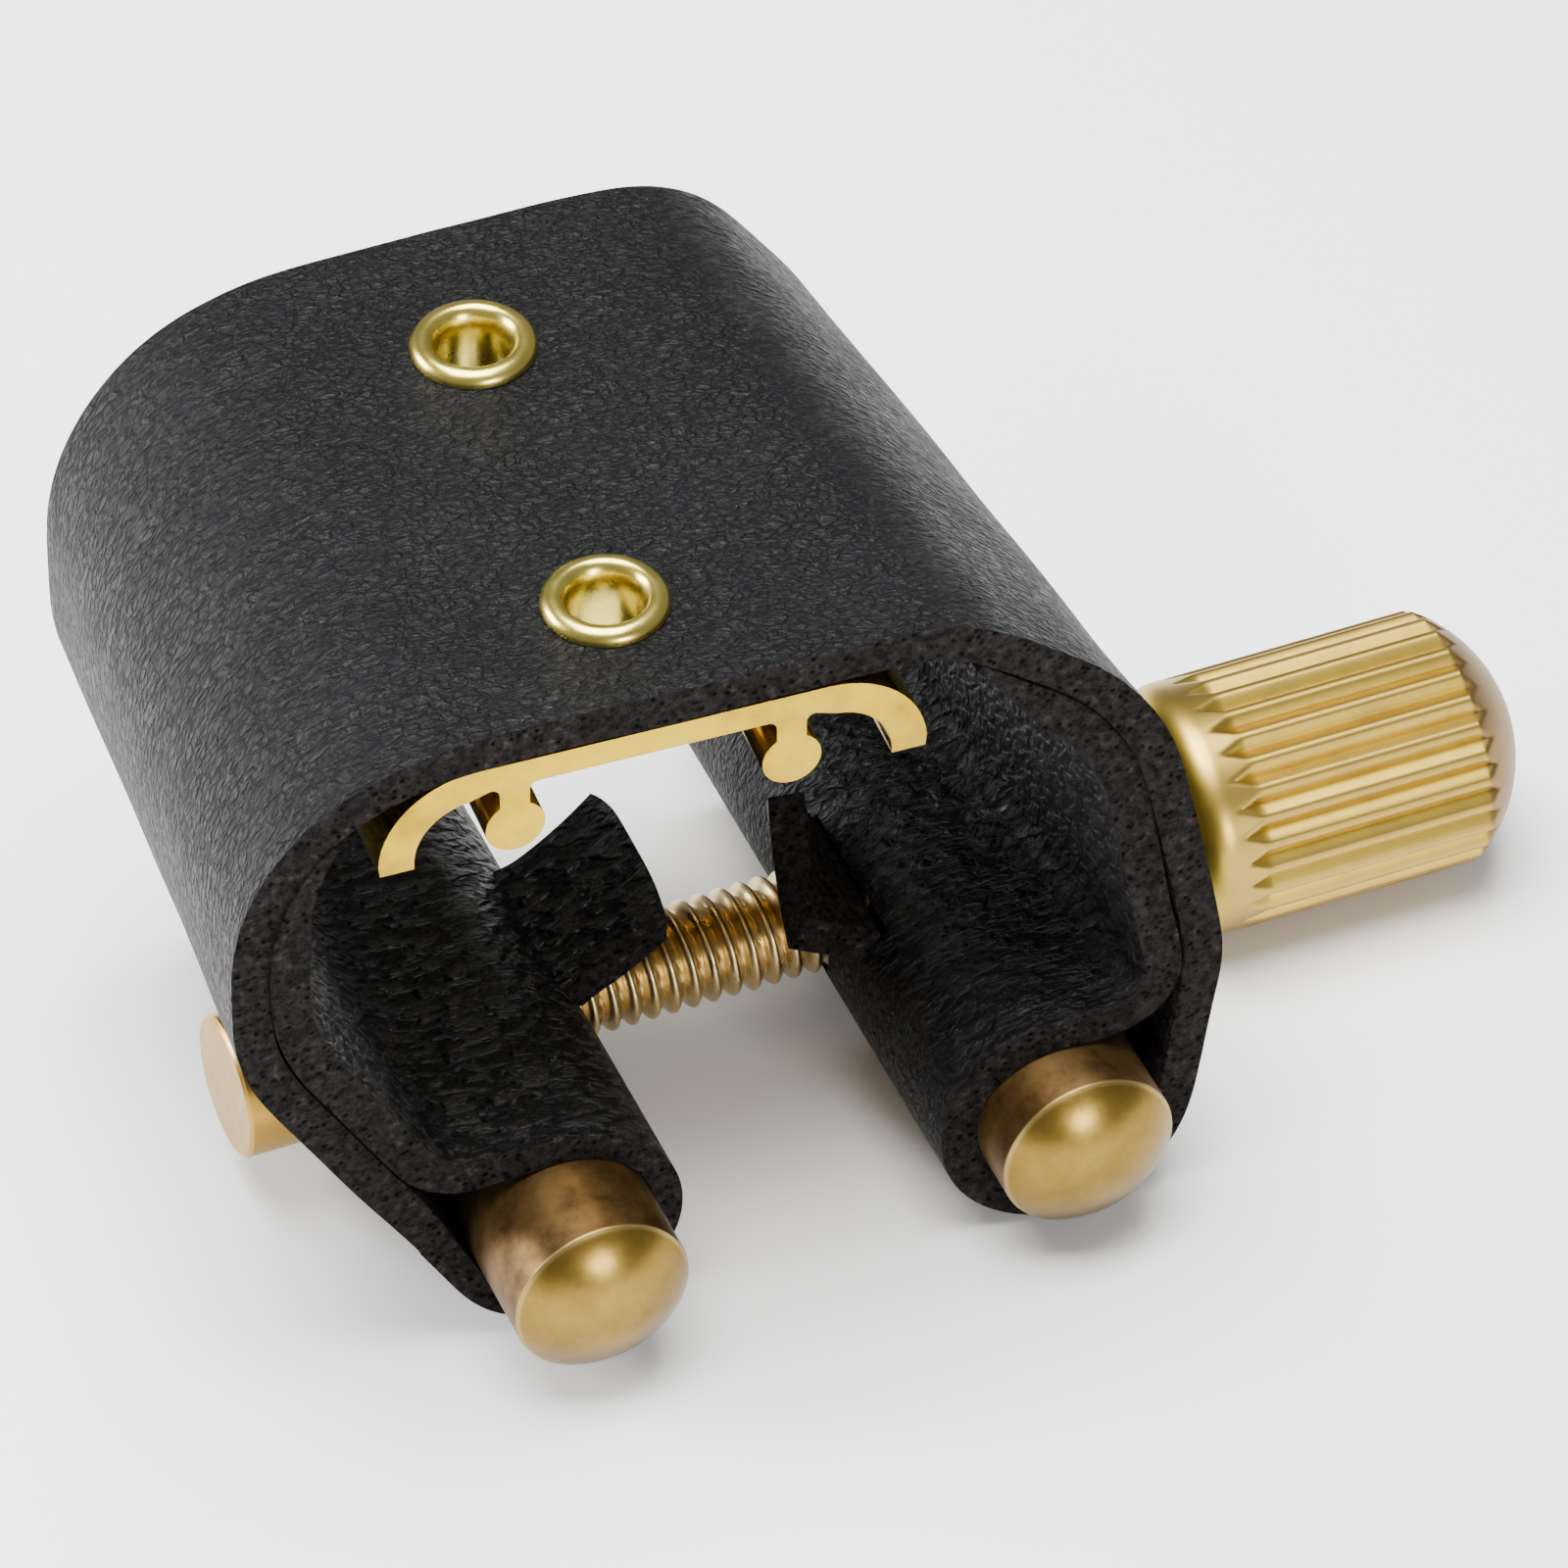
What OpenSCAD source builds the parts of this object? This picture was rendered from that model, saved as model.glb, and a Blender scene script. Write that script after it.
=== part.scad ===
// Saxophone ligature: a tapered leather band that holds a reed against a mouthpiece. The band's two ends
// are hemmed around brass rods, and a knurled thumb screw draws the rods together.
// X runs along the thumb screw towards its knob, Y along the mouthpiece towards the band's narrow end,
// and Z up, from the rods to the reed plate. The origin is the bottom centre of the whole ligature.
// The helpers work in the screw frame, whose origin is where the screw's axis passes midway between
// the rods, and place() lifts each node out of it.

/* [Leather] */
// Thickness of one layer of leather
leather_t = 1.2; // [1:0.05:1.4]
// Height of the band's outer top face above the screw's axis
crown_top = 20.15; // [19.9:0.05:21]
// Outer face of the left wall at the wide end
left_wall_wide = -17.3; // [-18.5:0.1:-17]
// Outer face of the left wall at the narrow end
left_wall_narrow = -15.5; // [-16:0.1:-14.8]
// Furthest reach of the right wall at the wide end
right_wall_wide = 12.3; // [12:0.1:13]
// Furthest reach of the right wall at the narrow end
right_wall_narrow = 10.9; // [10.5:0.1:11.5]
// Width of a tongue and of the window it is cut from
tongue_w = 5.4; // [4:0.1:6.5]
// Rise of the left tongue from its root, in degrees
tongue_rise = 14; // [8:1:18]
// Lean of the right tongue over the screw, in degrees from upright
tongue_lean = 20; // [10:1:30]

/* [Rods] */
// Radius of each rod
rod_r = 2.65; // [2.4:0.05:2.9]
// Distance from a rod's middle to the edge of its domed end
rod_half = 12; // [11.5:0.1:14]
// Distance between the axes of the two rods
rod_spacing = 15; // [14:0.1:17]

/* [Thumb screw] */
// Radius over the crests of the screw's thread
screw_r = 1.59; // [1.4:0.01:1.6]
// Pitch of the thread
pitch = 0.635; // [0.5:0.005:0.8]
// Radius over the knurls of the knob
knob_r = 3.86; // [3.5:0.01:3.9]
// Number of knurls round the knob
knurls = 28; // [20:2:32]
// Length of the knurled part of the knob
knurl_len = 8; // [7:0.1:10]

/* [Reed plate] */
// Width of the plate over its turned-down edges
plate_w = 16; // [15:0.1:16.4]
// Length of the plate
plate_len = 19.4; // [17:0.1:20]
// Thickness of the plate's flat middle
plate_t = 0.85; // [0.7:0.05:1]
// Turn of the plate about the vertical, in degrees
plate_yaw = 3; // [0:0.5:3]
// Distance between the eyelets
eyelet_spacing = 11.4; // [9:0.1:13]

/* [Hidden] */
$fn = 64;

// Gap between pieces of one body, and the slit that lets the walls slide under the crown
fit_gap = 0.03;
slit = 0.25;
split_z = 14.4;

// Rods and hems
hem_r = rod_r + fit_gap + leather_t;
rod_x = rod_spacing / 2;
dome_sag = 1.1;
end_chamfer = 0.2;
bore_clearance = 0.06;

// Thumb screw: places along X, from the middle of the gap between the rods
tip_x = -9.2;
thread_turns = 23;
thread_depth = 0.36;
thread_end_x = tip_x + thread_turns * pitch;
neck_x = 11.9;
neck_r = 2.4;
knob_x = 15;
knurl_depth = 0.36;
collar_len = 1.1;
knurl_x = knob_x + collar_len;
dome_x = knurl_x + knurl_len;
knob_dome = 2.1;
knob_tip_x = dome_x + knob_dome;
shank_seat = 4;
punched_gap = 0.5;

// Barrel nut, a blind sleeve pressed through the left rod
nut_face_x = -14.4;
nut_mouth_x = -5.1;
nut_r = 2.15;
nut_bottom = 0.7;

// Reed plate: its turned-down edges are arcs of the outer radius curl_r
plate_x = -4.35;
plate_z = crown_top - leather_t - fit_gap;
curl_r = 2.85;
curl_t = 1.05;
curl_drop = 0.2;
rib_x = 4.02;
rib_t = 0.88;
bulb_r = 0.87;
bulb_z = -2.35;

// Eyelets
eyelet_r = 1.2;
eyelet_bore_r = 1;
flange_rim_r = 0.385;
clinch_rim_r = 0.3;

// Tongues and their windows: the middle along Y, the height of each window's lower edge, the reach of
// the left tongue from its rod's axis, and the length of the right one
left_mid_y = 0.4;
right_mid_y = -1.2;
left_window_z = -0.7;
right_window_z = 1.3;
right_inset = 2.2;
left_reach = 5.9;
tongue_root = 2.8;
right_stand = 2.3;

// Origin of the part: the middle of its length along X, on the surface that it stands on
mid_x = (knob_tip_x + left_wall_wide) / 2;
module place() { translate([-mid_x, 0, hem_r]) children(); }

leather_black = [0.13, 0.13, 0.135];
brass = [0.8, 0.68, 0.42];
gold = [0.93, 0.8, 0.5];

// ---- Outlines in the X-Z plane ----

function unit(v) = v / norm(v);
function left_of(v) = [-v[1], v[0]];

// Arc of n steps that rounds the corner b of the path a, b, c with radius r
function rounded(a, b, c, r, n) =
    let (u = unit(a - b), w = unit(c - b), half = acos(u * w) / 2,
         centre = b + unit(u + w) * r / sin(half),
         p = b + u * r / tan(half) - centre, q = b + w * r / tan(half) - centre, turn = 180 - 2 * half)
    [for (i = [0:n]) centre + (sin(turn * (1 - i / n)) * p + sin(turn * i / n) * q) / sin(turn)];

// Points between a and b that divide the stretch into n
function between(a, b, n) = [for (i = [1:n - 1]) mix(a, b, i / n)];

// A path through corners, each rounded with its own radius in n steps, with n steps on each straight
function rounded_path(corners, radii, n) =
    let (last = len(corners) - 1,
         arcs = [for (i = [1:last - 1]) rounded(corners[i - 1], corners[i], corners[i + 1], radii[i - 1], n)],
         runs = [[corners[0]], each arcs, [corners[last]]])
    [for (i = [0:last]) each concat(
        i == 0 ? [] : between(runs[i - 1][len(runs[i - 1]) - 1], runs[i][0], n), runs[i])];

// The path moved sideways: positive to the left of its direction of travel
function moved(path, d) =
    [for (i = [0:len(path) - 1])
        let (before = path[max(i - 1, 0)], after = path[min(i + 1, len(path) - 1)])
        path[i] + d * left_of(unit(after - before))];

// Corners moved sideways with sharp corners kept
function moved_corner(a, b, c, d) =
    let (m = left_of(unit(b - a)), n = left_of(unit(c - b))) b + d * (m + n) / (1 + m * n);

// Where a straight stretch from p meets the outside of the hem round the rod at x, on the side given
function hem_touch(p, x, side) =
    let (v = [x, 0] - p, d = norm(v), dir = atan2(v[1], v[0]) + side * asin(hem_r / d))
    p + sqrt(d * d - hem_r * hem_r) * [cos(dir), sin(dir)];

function mix(a, b, f) = a + (b - a) * f;

// Corners of the band's outer face from the left hem over the top to the right hem.
// f is 0 at the wide end and 1 at the narrow end.
function left_knee(f) = [mix(left_wall_wide, left_wall_narrow, f), mix(9.8, 9.0, f)];
function left_shoulder(f) = [mix(left_wall_wide, left_wall_narrow, f), crown_top];
right_shoulder = [4.3, crown_top];
function right_haunch(f) = [mix(right_wall_wide - 1.9, right_wall_narrow - 2.7, f), mix(15.4, 14.9, f)];
function right_knee(f) = [mix(right_wall_wide, right_wall_narrow, f), 5];
function band_corners(f) =
    [hem_touch(left_knee(f), -rod_x, -1), left_knee(f), left_shoulder(f),
     right_shoulder, right_haunch(f), right_knee(f), hem_touch(right_knee(f), rod_x, 1)];
band_radii = [8, 7, 5, 9, 6];
function band_path(f) = rounded_path(band_corners(f), band_radii, 6);

// Corners of the lining's face towards the mouthpiece, from the top of the rod up the wall
function lining_corners(f, left) =
    let (c = band_corners(f), d = -2 * leather_t - fit_gap,
         knee = left ? moved_corner(c[0], c[1], c[2], d) : moved_corner(c[4], c[5], c[6], d),
         bend = left ? moved_corner(c[1], c[2], c[3], d) : moved_corner(c[3], c[4], c[5], d),
         foot = left ? c[1] - c[0] : c[5] - c[6],
         heel = [knee[0] + (hem_r - knee[1]) * foot[0] / foot[1], hem_r],
         onward = left ? c[3] - c[2] : c[3] - c[4])
    [[left ? -rod_x : rod_x, hem_r], heel, knee, bend, bend + 5 * unit(onward)];
function lining_path(f, left) =
    rounded_path(lining_corners(f, left), left ? [1.6, 6, 4.6] : [0.9, 1.5, 6.6], 6);
function reversed(path) = [for (i = [len(path) - 1:-1:0]) path[i]];

// ---- Edges of the band along Y, which shift a little from one side to the other ----

function wide_edge(x, z) =
    mix(-9.2, -10.4, (x + 17) / 29)
    + min(1, max(0, 1 - z / 12)) * (0.2 - 0.067 * min(rod_x, max(-rod_x, x)));
function narrow_edge(x, z) =
    10.3 - (x + 17) / 29 * (1.54 - 0.06 * z) + 0.75 * cos(min(90, abs(x + 3) * 6.3));

// Solid between the wide-end path and the narrow-end path, t thick to the right of the path's travel
module lofted(wide, narrow, t) {
    n = len(wide);
    wide_in = moved(wide, -t);
    narrow_in = moved(narrow, -t);
    points = [for (i = [0:n - 1]) each
        [[wide[i][0], wide_edge(wide[i][0], wide[i][1]), wide[i][1]],
         [narrow[i][0], narrow_edge(narrow[i][0], narrow[i][1]), narrow[i][1]],
         [narrow_in[i][0], narrow_edge(narrow[i][0], narrow[i][1]), narrow_in[i][1]],
         [wide_in[i][0], wide_edge(wide[i][0], wide[i][1]), wide_in[i][1]]]];
    sides = [for (i = [0:n - 2], k = [0:3])
        let (a = 4 * i + k, b = 4 * i + (k + 1) % 4) each [[a, b, b + 4], [a, b + 4, a + 4]]];
    polyhedron(points, concat(sides, [[3, 2, 1, 0], [for (k = [0:3]) 4 * (n - 1) + k]]));
}

// ---- Helpers for solids ----

// A round bar along the screw's axis, from x_low to x_high
module bar_x(r, x_low, x_high) {
    translate([x_low, 0, 0]) rotate([0, 90, 0]) cylinder(r = r, h = x_high - x_low);
}

// A shape turned round the screw's axis from points of distance along X and radius
module turned_x(points) {
    rotate([0, 90, 0]) rotate_extrude() polygon([for (p = points) [p[1], p[0]]]);
}

// The reed plate's own frame: the middle of its upper face, moved along it to an eyelet or left there
module on_plate(end) {
    translate([plate_x, 0, plate_z]) rotate([0, 0, -plate_yaw])
        translate([0, end * eyelet_spacing / 2, 0]) children();
}

// ---- Leather ----

// The part of the band's outer layer inside a box in X and Z
module band_slice(x_low, x_high, z_low, z_high) {
    intersection() {
        lofted(band_path(0), band_path(1), leather_t);
        translate([x_low, -20, z_low]) cube([x_high - x_low, 40, z_high - z_low]);
    }
}

module strap_crown() {
    color(leather_black) place() difference() {
        band_slice(-30, 30, split_z, crown_top + 5);
        for (end = [-1, 1]) on_plate(end) cylinder(r = eyelet_r + fit_gap, h = 10, center = true);
    }
}

module strap_left() {
    color(leather_black) place() difference() {
        band_slice(-30, -5, -10, split_z - slit);
        bar_x(nut_r + fit_gap, -20, 0);
    }
}

module strap_right() {
    color(leather_black) place() difference() {
        band_slice(5, 30, -10, split_z - slit);
        bar_x(screw_r + punched_gap, 0, 20);
    }
}

module lining(left) {
    wide = lining_path(0, left);
    narrow = lining_path(1, left);
    intersection() {
        lofted(left ? reversed(wide) : wide, left ? reversed(narrow) : narrow, leather_t - fit_gap);
        translate([-30, -20, 0]) cube([60, 40, split_z - slit]);
    }
}

module lining_left() {
    color(leather_black) place() difference() {
        lining(true);
        bar_x(nut_r + fit_gap, -20, 0);
    }
}

module lining_right() { color(leather_black) place() lining(false); }

// The hem: leather bent round the rod at x from angle start, measured from +X towards +Z, through turn
// degrees. It has a hole of radius hole_r for the nut or the screw, and a window above the height given
// where the tongue was cut free, as far out from the rod's axis as inset.
module hem(x, start, turn, hole_r, mid_y, window_z, inset) {
    toward = x < 0 ? 1 : -1;
    difference() {
        translate([x, narrow_edge(x, 0), 0]) rotate([90, 0, 0]) rotate([0, 0, start])
            rotate_extrude(angle = turn) translate([rod_r + fit_gap, 0])
                square([leather_t, narrow_edge(x, 0) - wide_edge(x, 0)]);
        translate([x + toward * (3 + inset), mid_y, window_z + 5]) cube([6, tongue_w, 10], center = true);
        translate([x, 0, 0]) bar_x(hole_r, -hem_r - 1, hem_r + 1);
    }
}

module hem_left() {
    touch = hem_touch(left_knee(0), -rod_x, -1) + [rod_x, 0];
    start = atan2(touch[1], touch[0]);
    color(leather_black) place()
        hem(-rod_x, start, 90 - start, nut_r + fit_gap, left_mid_y, left_window_z, 0);
}

module hem_right() {
    touch = hem_touch(right_knee(0), rod_x, 1) - [rod_x, 0];
    turn = 270 + atan2(touch[1], touch[0]);
    color(leather_black) place()
        hem(rod_x, 90, turn, screw_r + punched_gap, right_mid_y, right_window_z, right_inset);
}

// The left tongue stays flat over its rod as far as tongue_root and then points up across the gap
module tongue_left() {
    w = tongue_w - 0.3;
    t = leather_t - fit_gap;
    module flap(length) { translate([0, -w / 2, 0]) cube([length, w, t]); }
    color(leather_black) place() translate([-rod_x, left_mid_y, rod_r + fit_gap]) {
        flap(tongue_root);
        translate([tongue_root, 0, 0]) rotate([0, -tongue_rise, 0])
            flap((left_reach - tongue_root) / cos(tongue_rise));
        translate([tongue_root, 0, 0]) intersection() {
            rotate([90, 0, 0]) cylinder(r = t, h = w, center = true);
            translate([-t, -w / 2, 0]) cube([t, w, t]);
        }
    }
}

// The right tongue stands up from the lower edge of its window and leans over the screw
module tongue_right() {
    base = [rod_x - sqrt(hem_r * hem_r - right_window_z * right_window_z), right_window_z + fit_gap];
    lean = tongue_lean;
    tip = base + right_stand * [-sin(lean), cos(lean)];
    back = tip + (leather_t - fit_gap) * [cos(lean), sin(lean)];
    color(leather_black) place() difference() {
        translate([0, right_mid_y, 0]) rotate([90, 0, 0]) linear_extrude(tongue_w - 0.3, center = true)
            polygon([base, base + [leather_t, 0], back, tip]);
        bar_x(screw_r + punched_gap, 0, 20);
    }
}

// ---- Rods, nut and screw ----

// A rod along Y with a bevelled, domed face on each end
module rod(x) {
    face_r = rod_r - end_chamfer;
    dome_r = (face_r * face_r + dome_sag * dome_sag) / (2 * dome_sag);
    straight = rod_half - end_chamfer;
    translate([x, 0, 0]) rotate([90, 0, 0]) rotate_extrude() {
        polygon([[0, -rod_half], [face_r, -rod_half], [rod_r, -straight], [rod_r, straight],
                 [face_r, rod_half], [0, rod_half]]);
        for (side = [0, 1]) mirror([0, side]) intersection() {
            translate([0, rod_half + dome_sag - dome_r]) circle(r = dome_r);
            translate([0, rod_half]) square(face_r);
        }
    }
}

module rod_left() {
    color(brass) place() difference() {
        rod(-rod_x);
        bar_x(nut_r + fit_gap, -20, 0);
    }
}

module rod_right() {
    color(brass) place() difference() {
        rod(rod_x);
        bar_x(screw_r + bore_clearance, 0, 20);
    }
}

module barrel_nut() {
    color(brass) place() difference() {
        bar_x(nut_r, nut_face_x, nut_mouth_x);
        bar_x(screw_r + bore_clearance, nut_face_x + nut_bottom, 0);
    }
}

// The thread is a row of rings at its true pitch
module screw_shank() {
    root_r = screw_r - thread_depth;
    color(brass) place() turned_x([
        [tip_x, 0], [tip_x, root_r],
        for (i = [0:thread_turns - 1]) each
            [[tip_x + (i + 0.1) * pitch, root_r], [tip_x + (i + 0.42) * pitch, screw_r],
             [tip_x + (i + 0.58) * pitch, screw_r], [tip_x + (i + 0.9) * pitch, root_r]],
        [thread_end_x, root_r], [thread_end_x, screw_r], [knob_x + shank_seat, screw_r], [knob_x + shank_seat, 0]]);
}

// A V groove along the knob that divides two knurls and runs out at its inner end
module knurl_groove() {
    width = 360 / knurls / 2 * 0.8;
    edge = [knob_r * cos(width), knob_r * sin(width)];
    root = knob_r - knurl_depth;
    out = 2 * edge - [root, 0];
    translate([knurl_x, 0, 0]) rotate([90, 0, 90]) linear_extrude(knurl_len + knob_dome + 1)
        polygon([[root, 0], [out[0], -out[1]], out]);
}

module thumb_knob() {
    dome_r = (knob_r * knob_r + knob_dome * knob_dome) / (2 * knob_dome);
    color(brass) place() difference() {
        union() {
            turned_x([[neck_x, 0], [neck_x, neck_r], [knob_x, neck_r], [knob_x, knob_r - 0.8],
                      [knob_x + 0.35, knob_r - 0.25], [knob_x + 0.9, knob_r], [dome_x, knob_r], [dome_x, 0]]);
            rotate([0, 90, 0]) rotate_extrude() intersection() {
                translate([0, knob_tip_x - dome_r]) circle(r = dome_r);
                translate([0, dome_x]) square(knob_r);
            }
        }
        bar_x(screw_r + fit_gap, neck_x - 1, knob_x + shank_seat + fit_gap);
        for (i = [1:knurls]) rotate([i * 360 / knurls, 0, 0]) knurl_groove();
    }
}

// ---- Reed plate and eyelets ----

// The plate's section: a flat middle, turned-down edges and two ribs with round beads
module plate_section() {
    bend_x = plate_w / 2 - curl_r;
    translate([-bend_x, -plate_t]) square([2 * bend_x, plate_t]);
    for (side = [0, 1]) mirror([side, 0]) {
        translate([bend_x, -curl_r]) difference() {
            circle(r = curl_r);
            circle(r = curl_r - curl_t);
            translate([-2 * curl_r, -2 * curl_r]) square([2 * curl_r, 4 * curl_r]);
            translate([-1, -2 * curl_r]) square([2 * curl_r, 2 * curl_r - curl_drop]);
        }
        translate([rib_x - rib_t / 2, bulb_z]) square([rib_t, -bulb_z - plate_t / 2]);
        translate([rib_x, bulb_z]) circle(r = bulb_r);
    }
}

module reed_plate() {
    color(gold) place() difference() {
        on_plate(0) rotate([90, 0, 0]) linear_extrude(plate_len, center = true) plate_section();
        for (end = [-1, 1]) on_plate(end) cylinder(r = eyelet_r + fit_gap, h = 10, center = true);
    }
}

// An eyelet: a tube through leather and plate, with a rounded flange above and a clinched rim below
module eyelet(end) {
    seat = leather_t + 2 * fit_gap;
    clinch = -plate_t - fit_gap;
    on_plate(end) rotate_extrude() {
        translate([eyelet_bore_r, clinch]) square([eyelet_r - eyelet_bore_r, seat - clinch]);
        intersection() {
            translate([eyelet_bore_r + flange_rim_r, seat]) circle(r = flange_rim_r);
            translate([eyelet_bore_r, seat]) square(2);
        }
        intersection() {
            translate([eyelet_bore_r + clinch_rim_r, clinch]) circle(r = clinch_rim_r);
            translate([eyelet_bore_r, clinch - 2]) square(2);
        }
    }
}

module eyelet_front() { color(gold) place() eyelet(-1); }
module eyelet_rear() { color(gold) place() eyelet(1); }

strap_crown();
reed_plate();
eyelet_front();
eyelet_rear();
strap_left();
lining_left();
hem_left();
tongue_left();
rod_left();
barrel_nut();
strap_right();
lining_right();
hem_right();
tongue_right();
rod_right();
screw_shank();
thumb_knob();
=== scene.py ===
"""Saxophone ligature: a leather band with a reed plate, two rods and a thumb screw.

The helpers work in millimetres in the screw frame: its origin is where the screw's axis passes
midway between the rods. new_object() turns that into the row frame, in metres.
"""

import math

import bmesh
import bpy
import numpy as np
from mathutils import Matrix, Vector, noise


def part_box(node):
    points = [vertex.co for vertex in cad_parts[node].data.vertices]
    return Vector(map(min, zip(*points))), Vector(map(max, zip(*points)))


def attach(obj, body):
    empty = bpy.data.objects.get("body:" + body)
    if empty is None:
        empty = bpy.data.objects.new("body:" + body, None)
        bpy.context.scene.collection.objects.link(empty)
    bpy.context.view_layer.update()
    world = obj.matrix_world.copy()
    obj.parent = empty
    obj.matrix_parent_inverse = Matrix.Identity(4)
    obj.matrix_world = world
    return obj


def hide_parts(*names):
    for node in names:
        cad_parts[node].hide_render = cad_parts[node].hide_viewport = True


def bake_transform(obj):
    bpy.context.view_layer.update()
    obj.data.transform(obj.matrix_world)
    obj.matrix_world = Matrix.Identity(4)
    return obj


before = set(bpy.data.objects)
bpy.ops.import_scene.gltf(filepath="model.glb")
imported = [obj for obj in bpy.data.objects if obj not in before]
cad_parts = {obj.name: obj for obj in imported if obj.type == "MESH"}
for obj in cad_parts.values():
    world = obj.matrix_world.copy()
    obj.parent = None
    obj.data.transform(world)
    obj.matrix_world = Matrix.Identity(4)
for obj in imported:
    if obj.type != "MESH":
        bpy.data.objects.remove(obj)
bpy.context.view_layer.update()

MM = 0.001


def box_mm(node):
    """Lowest and highest corner of a CAD node, in millimetres in the row frame."""
    low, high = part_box(node)
    return np.array(low) / MM, np.array(high) / MM


rod_left_low, rod_left_high = box_mm("rod_left")
rod_right_high = box_mm("rod_right")[1]
nut_low, nut_high = box_mm("barrel_nut")
shank_low, shank_high = box_mm("screw_shank")
knob_low, knob_high = box_mm("thumb_knob")
plate_low, plate_high = box_mm("reed_plate")
crown_high = box_mm("strap_crown")[1]
front_low, front_high = box_mm("eyelet_front")
rear_low, rear_high = box_mm("eyelet_rear")

ORIGIN = np.array(
    [
        (rod_left_low[0] + rod_right_high[0]) / 2,
        0.0,
        (rod_left_low[2] + rod_left_high[2]) / 2,
    ]
)
ROD_R = (rod_left_high[2] - rod_left_low[2]) / 2
ROD_X = (rod_right_high[0] - rod_left_low[0]) / 2 - ROD_R
ROD_END = rod_left_high[1]
DOME_SAG = 1.1
NUT_R = (nut_high[2] - nut_low[2]) / 2
NUT_FACE = nut_low[0] - ORIGIN[0]
NUT_MOUTH = nut_high[0] - ORIGIN[0]
SCREW_R = (shank_high[2] - shank_low[2]) / 2
SCREW_TIP = shank_low[0] - ORIGIN[0]
KNOB_R = (knob_high[2] - knob_low[2]) / 2
NECK_X = knob_low[0] - ORIGIN[0]
KNOB_TIP = knob_high[0] - ORIGIN[0]
CROWN_TOP = crown_high[2] - ORIGIN[2]
KNOB_SAG = 2.1
PITCH = 0.635

LEATHER_T = 1.16
LAYER_GAP = 0.06
TAU = 2 * math.pi


# ---- Materials ----


class Nodes:
    """A material's node tree, with short ways to add nodes and join them."""

    def __init__(self, name):
        self.material = bpy.data.materials.new(name)
        self.material.use_nodes = True
        self.tree = self.material.node_tree
        self.shader = self.tree.nodes["Principled BSDF"]

    def add(self, kind, inputs=None, **settings):
        node = self.tree.nodes.new(kind)
        for key, value in settings.items():
            setattr(node, key, value)
        for key, value in (inputs or {}).items():
            self.put(node.inputs[key], value)
        return node

    def put(self, socket, value):
        if isinstance(value, bpy.types.NodeSocket):
            self.tree.links.new(value, socket)
        else:
            socket.default_value = value

    def set(self, **values):
        for key, value in values.items():
            self.put(self.shader.inputs[key.replace("_", " ")], value)

    def coordinates(self, scale=(1, 1, 1), turn=(0, 0, 0)):
        """Object coordinates in millimetres, turned and then stretched by scale."""
        here = self.add("ShaderNodeTexCoord").outputs["Object"]
        if any(turn):
            angles = [math.radians(a) for a in turn]
            node = self.add("ShaderNodeMapping", {"Vector": here, "Rotation": angles})
            here = node.outputs["Vector"]
        factors = [s / MM for s in scale]
        return self.add("ShaderNodeMapping", {"Vector": here, "Scale": factors}).outputs["Vector"]

    def noise(self, vector, scale, detail=4.0, roughness=0.5, distortion=0.0):
        node = self.add(
            "ShaderNodeTexNoise",
            {
                "Vector": vector,
                "Scale": scale,
                "Detail": detail,
                "Roughness": roughness,
                "Distortion": distortion,
            },
        )
        return node.outputs["Fac"]

    def cells(self, vector, scale, feature="F1", randomness=1.0):
        node = self.add(
            "ShaderNodeTexVoronoi",
            {"Vector": vector, "Scale": scale, "Randomness": randomness},
            feature=feature,
        )
        return node.outputs["Distance"]

    def math(self, operation, a, b=0.0, c=0.0):
        node = self.add("ShaderNodeMath", operation=operation)
        for socket, value in zip(node.inputs, (a, b, c)):
            self.put(socket, value)
        return node.outputs[0]

    def span(self, value, low, high, to_low=0.0, to_high=1.0):
        """value mapped from low..high to to_low..to_high, and held there."""
        node = self.add(
            "ShaderNodeMapRange",
            {
                "Value": value,
                "From Min": low,
                "From Max": high,
                "To Min": to_low,
                "To Max": to_high,
            },
        )
        return node.outputs["Result"]

    def mix(self, factor, a, b):
        node = self.add("ShaderNodeMix", data_type="RGBA")
        self.put(node.inputs[0], factor)
        self.put(node.inputs[6], a)
        self.put(node.inputs[7], b)
        return node.outputs[2]

    def bump(self, height, depth_mm, strength=1.0, normal=None):
        inputs = {"Height": height, "Distance": depth_mm * MM, "Strength": strength}
        if normal is not None:
            inputs["Normal"] = normal
        return self.add("ShaderNodeBump", inputs).outputs["Normal"]

    def attribute(self, name):
        return self.add("ShaderNodeAttribute", attribute_name=name).outputs["Fac"]


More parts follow.
